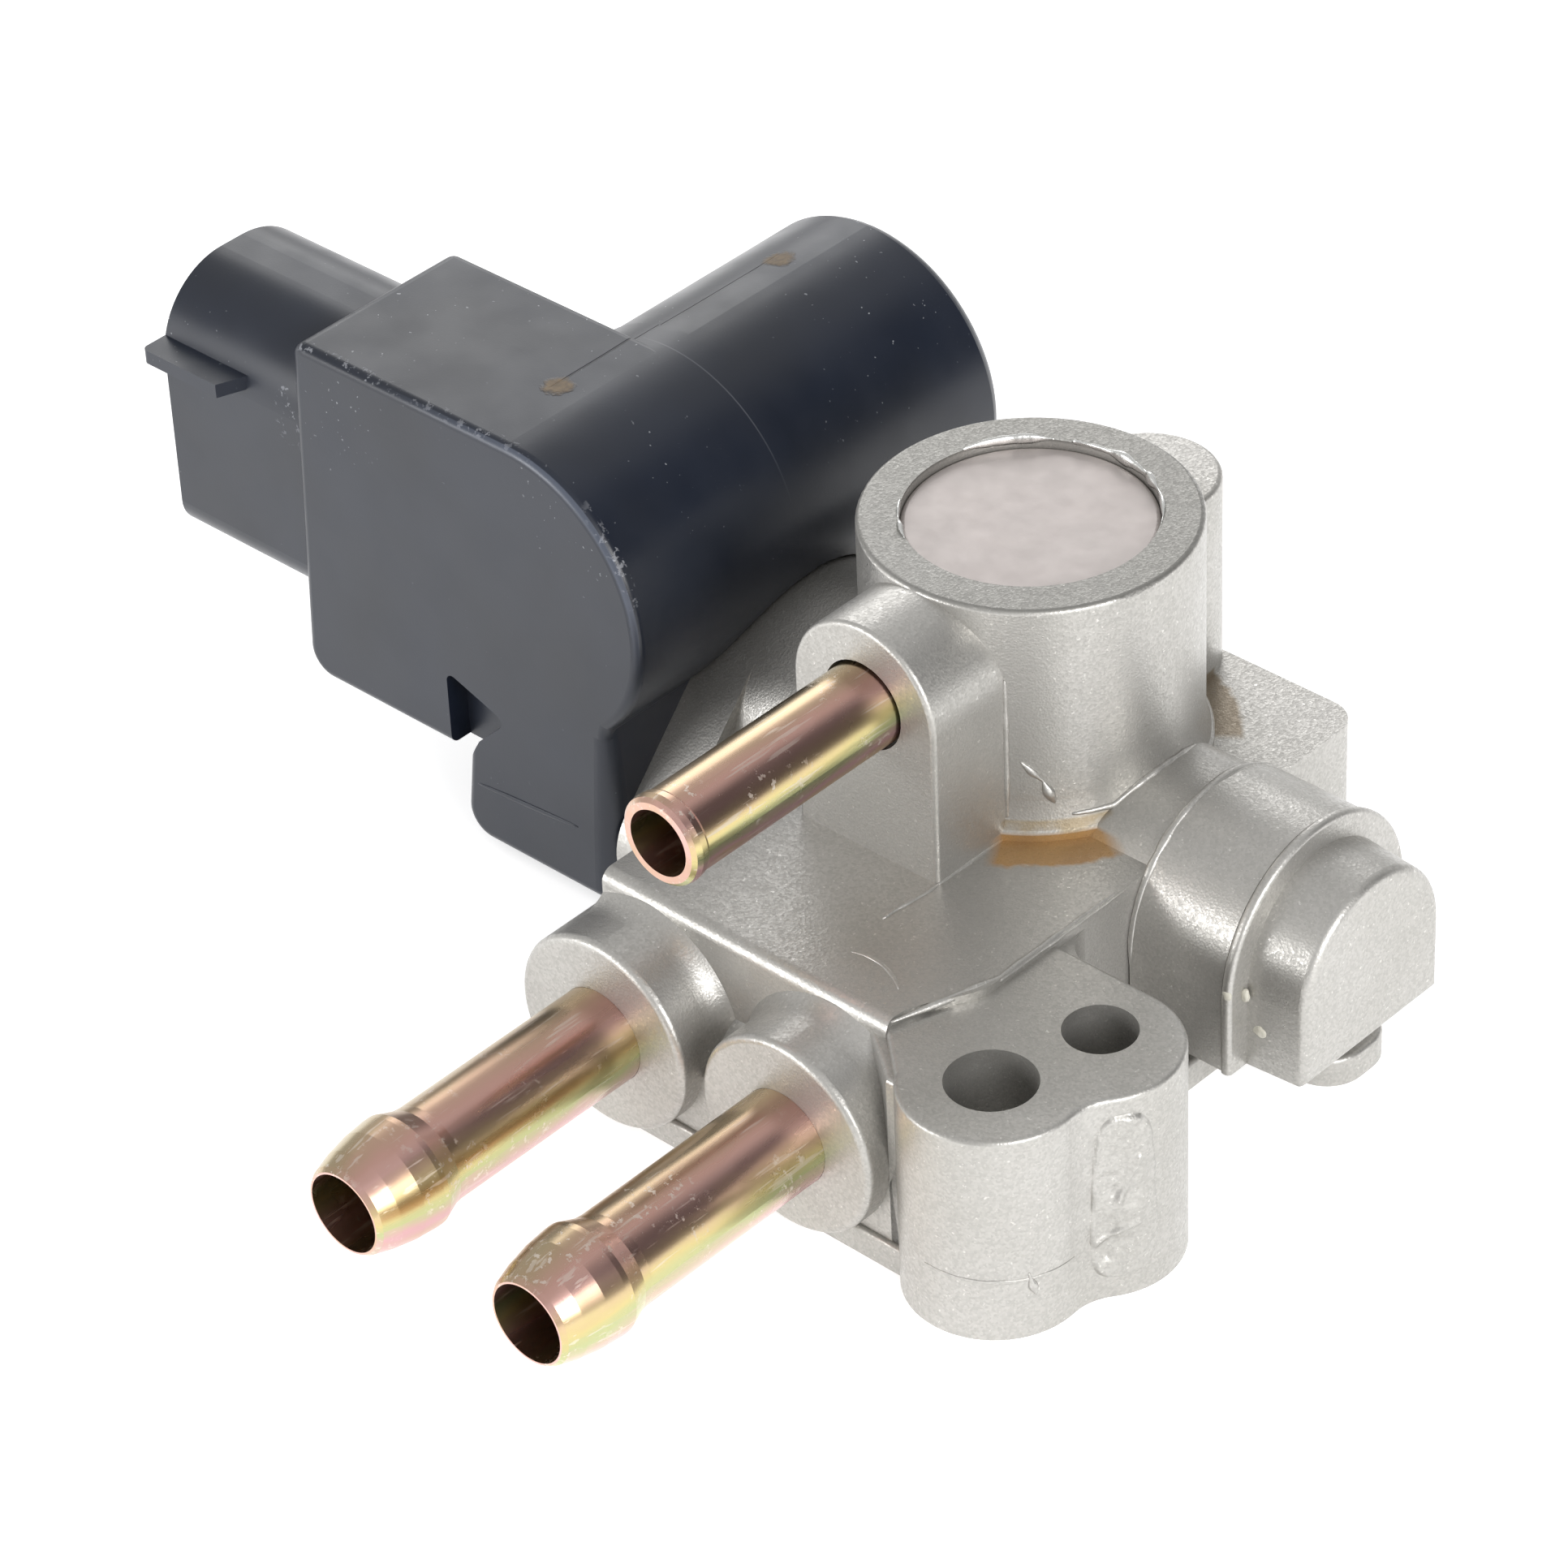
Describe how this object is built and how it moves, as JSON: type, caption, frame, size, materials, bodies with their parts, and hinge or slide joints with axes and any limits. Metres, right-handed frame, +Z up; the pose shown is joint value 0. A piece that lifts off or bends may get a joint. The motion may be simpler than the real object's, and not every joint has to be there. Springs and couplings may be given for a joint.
{
  "type": "idle air control valve",
  "caption": "Rotary idle air control valve with a cast body, coolant and air hose pipes, bolt lugs and a moulded electromagnet actuator with a plug socket.",
  "frame": {"origin": "axis of the large bolt hole of the front lug, on the mounting face", "axes": "+X along the valve shaft towards the closed D-shaped barrel end, -Y the way the hose pipes point, +Z up from the mounting face"},
  "size_m": [0.1323, 0.1082, 0.0493],
  "materials": {
    "cast_aluminium": "shot-blasted die casting",
    "zinc_plated_steel": "yellow zinc plated tube",
    "plug_alloy": "pressed disc, matte",
    "plain_steel": "ground steel",
    "seal_rubber": "moulded rubber",
    "moulded_nylon": "moulded, slightly satin",
    "tinned_brass": "tinned strip",
    "circuit_board": "glass-fibre board",
    "bobbin_nylon": "moulded",
    "copper_wire": "enamelled wire",
    "soft_iron": "stamped iron",
    "sintered_magnet": "sintered",
    "turned_brass": "turned",
    "bearing_bronze": "sintered bush",
    "turned_aluminium": "turned",
    "screw_steel": "zinc plated screw"
  },
  "bodies": {
    "valve": {"valve_body": "cast_aluminium", "coolant_pipe_left": "zinc_plated_steel", "coolant_pipe_right": "zinc_plated_steel", "air_pipe": "zinc_plated_steel", "core_plug": "plug_alloy", "gallery_plug": "plain_steel", "base_o_ring": "seal_rubber", "actuator_housing": "moulded_nylon", "terminal_lower": "tinned_brass", "terminal_middle": "tinned_brass", "terminal_upper": "tinned_brass", "driver_board": "circuit_board", "coil_bobbin": "bobbin_nylon", "coil_winding": "copper_wire", "iron_core": "soft_iron", "front_pole": "soft_iron", "rear_pole": "soft_iron", "bearing_carrier": "turned_brass", "inner_bush": "bearing_bronze", "outer_bush": "bearing_bronze", "thrust_washer": "plain_steel", "shaft_seal": "seal_rubber", "actuator_o_ring": "seal_rubber", "return_spring": "plain_steel", "actuator_screws": "screw_steel"},
    "rotor": {"valve_shaft": "plain_steel", "valve_spool": "turned_aluminium", "spool_pin": "plain_steel", "rotor_magnet": "sintered_magnet", "rotor_hub": "turned_brass", "retaining_ring": "plain_steel"}
  },
  "joints": [
    {"name": "valve_turn", "type": "hinge", "parent": "valve", "child": "rotor", "pos_m": [-0.03, 0.0402, 0.0157], "axis": [1, 0, 0], "range_deg": [0, 60], "stiffness_Nm_per_rad": 0.004, "springref_deg": -20.05}
  ]
}
